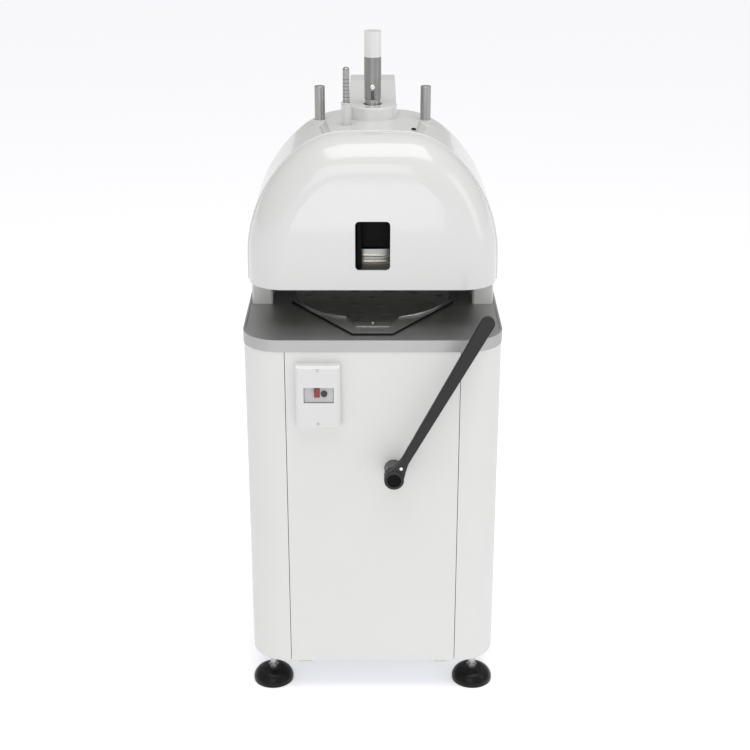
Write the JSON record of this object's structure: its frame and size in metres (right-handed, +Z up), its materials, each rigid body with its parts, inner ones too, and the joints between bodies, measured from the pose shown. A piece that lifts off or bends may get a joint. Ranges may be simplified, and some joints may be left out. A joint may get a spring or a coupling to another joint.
{
  "type": "dough divider rounder",
  "caption": "Floor-standing bakery dough divider and rounder with enamelled cabinet, domed press head, orbiting dough plate and side-swinging rounding lever.",
  "frame": {"origin": "on the floor, under the middle of the machine's outer box", "axes": "+X to the operator's right, +Y to the rear, +Z up"},
  "size_m": [0.633, 0.74, 1.663],
  "materials": {
    "white_enamel": "smooth white enamel",
    "gloss_white": "gloss white moulding",
    "stainless": "brushed stainless steel",
    "ground_steel": "ground and turned steel",
    "zinc_steel": "zinc plated steel",
    "frame_paint": "grey machine paint",
    "liner_grey": "dark grey satin",
    "black_rubber": "smooth black",
    "lever_black": "charcoal moulding",
    "cap_black": "black satin",
    "button_red": "red gloss",
    "breaker_grey": "mid grey moulding",
    "clear_tube": "clear acrylic",
    "bronze": "bearing bronze",
    "cast_grey": "machined cast iron",
    "plate_alloy": "polished alloy",
    "pad_white": "food-safe white plastic",
    "belt_black": "belt rubber"
  },
  "bodies": {
    "machine": {"foot_pads": "black_rubber", "foot_spindles": "zinc_steel", "foot_lock_nuts": "zinc_steel", "base_plate": "frame_paint", "frame_posts": "frame_paint", "frame_rails": "frame_paint", "drive_shelves": "frame_paint", "left_side_panel": "white_enamel", "right_side_panel": "white_enamel", "front_panel": "white_enamel", "rear_panel": "white_enamel", "panel_hooks": "bronze", "worktop": "stainless", "column_left_cheek": "white_enamel", "column_right_cheek": "white_enamel", "column_back_cover": "white_enamel", "throat_liner": "liner_grey", "head_frame": "frame_paint", "press_cylinder": "cast_grey", "ram_bush": "bronze", "guide_bushes": "bronze", "head_front_cover": "gloss_white", "head_rear_cover": "gloss_white", "neck_cover": "gloss_white", "scale_tube": "clear_tube", "switch_box": "gloss_white", "breaker_body": "breaker_grey", "cover_screws": "zinc_steel", "lever_bearings": "cast_grey", "lift_guide_sleeve": "cast_grey", "motor": "frame_paint", "drive_belt": "belt_black", "oil_tank": "frame_paint", "hydraulic_pump": "cast_grey", "valve_block": "ground_steel", "pressure_pipe": "zinc_steel", "cable_gland": "cap_black"},
    "press_ram": {"ram_post": "ground_steel", "ram_sleeve": "ground_steel", "ram_cap": "gloss_white", "press_plate": "ground_steel", "press_pads": "pad_white", "scale_rod": "ground_steel"},
    "knife_block": {"knife_grid": "stainless", "press_ring": "ground_steel", "guide_rods": "ground_steel"},
    "rounding_lever": {"lever_arm": "lever_black", "lever_cap": "cap_black", "lever_hub_sleeve": "zinc_steel", "lever_shaft": "ground_steel", "lever_crank": "cast_grey"},
    "lift_carriage": {"lift_quill": "ground_steel"},
    "drive_wheel": {"drive_pulley": "cast_grey"},
    "eccentric": {"eccentric_shaft": "ground_steel"},
    "idler": {"idler_crank": "ground_steel"},
    "rounding_table": {"table_carrier": "stainless"},
    "plate": {"dough_plate": "plate_alloy"},
    "motor_rotor": {"motor_pulley": "cast_grey"},
    "stop_key": {"stop_button": "button_red"},
    "start_key": {"start_button": "cap_black"}
  },
  "joints": [
    {"name": "press_slide", "type": "slide", "parent": "machine", "child": "press_ram", "axis": [0, 0, 1], "range_m": [-0.05, 0]},
    {"name": "knife_slide", "type": "slide", "parent": "machine", "child": "knife_block", "axis": [0, 0, 1], "range_m": [-0.05, 0]},
    {"name": "rounding_lever_swing", "type": "hinge", "parent": "machine", "child": "rounding_lever", "pos_m": [0.052, -0.2, 0.648], "axis": [0, -1, 0], "range_deg": [0, 56]},
    {"name": "table_lift", "type": "slide", "parent": "machine", "child": "lift_carriage", "axis": [0, 0, 1], "range_m": [0, 0.02451]},
    {"name": "drive_spin", "type": "hinge", "parent": "machine", "child": "drive_wheel", "pos_m": [0, 0.029, 0.49], "axis": [0, 0, 1], "continuous": true},
    {"name": "eccentric_spin", "type": "hinge", "parent": "lift_carriage", "child": "eccentric", "pos_m": [0, 0.029, 0.8], "axis": [0, 0, 1], "continuous": true},
    {"name": "idler_spin", "type": "hinge", "parent": "lift_carriage", "child": "idler", "pos_m": [0.06, 0.029, 0.945], "axis": [0, 0, 1], "continuous": true},
    {"name": "table_orbit", "type": "hinge", "parent": "eccentric", "child": "rounding_table", "pos_m": [0, 0.041, 0.974], "axis": [0, 0, 1], "continuous": true},
    {"name": "motor_spin", "type": "hinge", "parent": "machine", "child": "motor_rotor", "pos_m": [0, 0.25, 0.49], "axis": [0, 0, 1], "continuous": true},
    {"name": "plate_slide", "type": "slide", "parent": "rounding_table", "child": "plate", "axis": [0, 1, 0], "range_m": [-0.33, 0]},
    {"name": "stop_press", "type": "slide", "parent": "machine", "child": "stop_key", "axis": [0, 1, 0], "range_m": [0, 0.0035], "stiffness_N_per_m": 500},
    {"name": "start_press", "type": "slide", "parent": "machine", "child": "start_key", "axis": [0, 1, 0], "range_m": [0, 0.0035], "stiffness_N_per_m": 500}
  ],
  "couplings": [
    {"joint": "table_lift", "follows": "rounding_lever_swing", "m_per_rad": 0.02497},
    {"joint": "eccentric_spin", "follows": "drive_spin", "ratio": 1},
    {"joint": "idler_spin", "follows": "drive_spin", "ratio": 1},
    {"joint": "table_orbit", "follows": "drive_spin", "ratio": -1},
    {"joint": "motor_spin", "follows": "drive_spin", "ratio": 2.98}
  ]
}
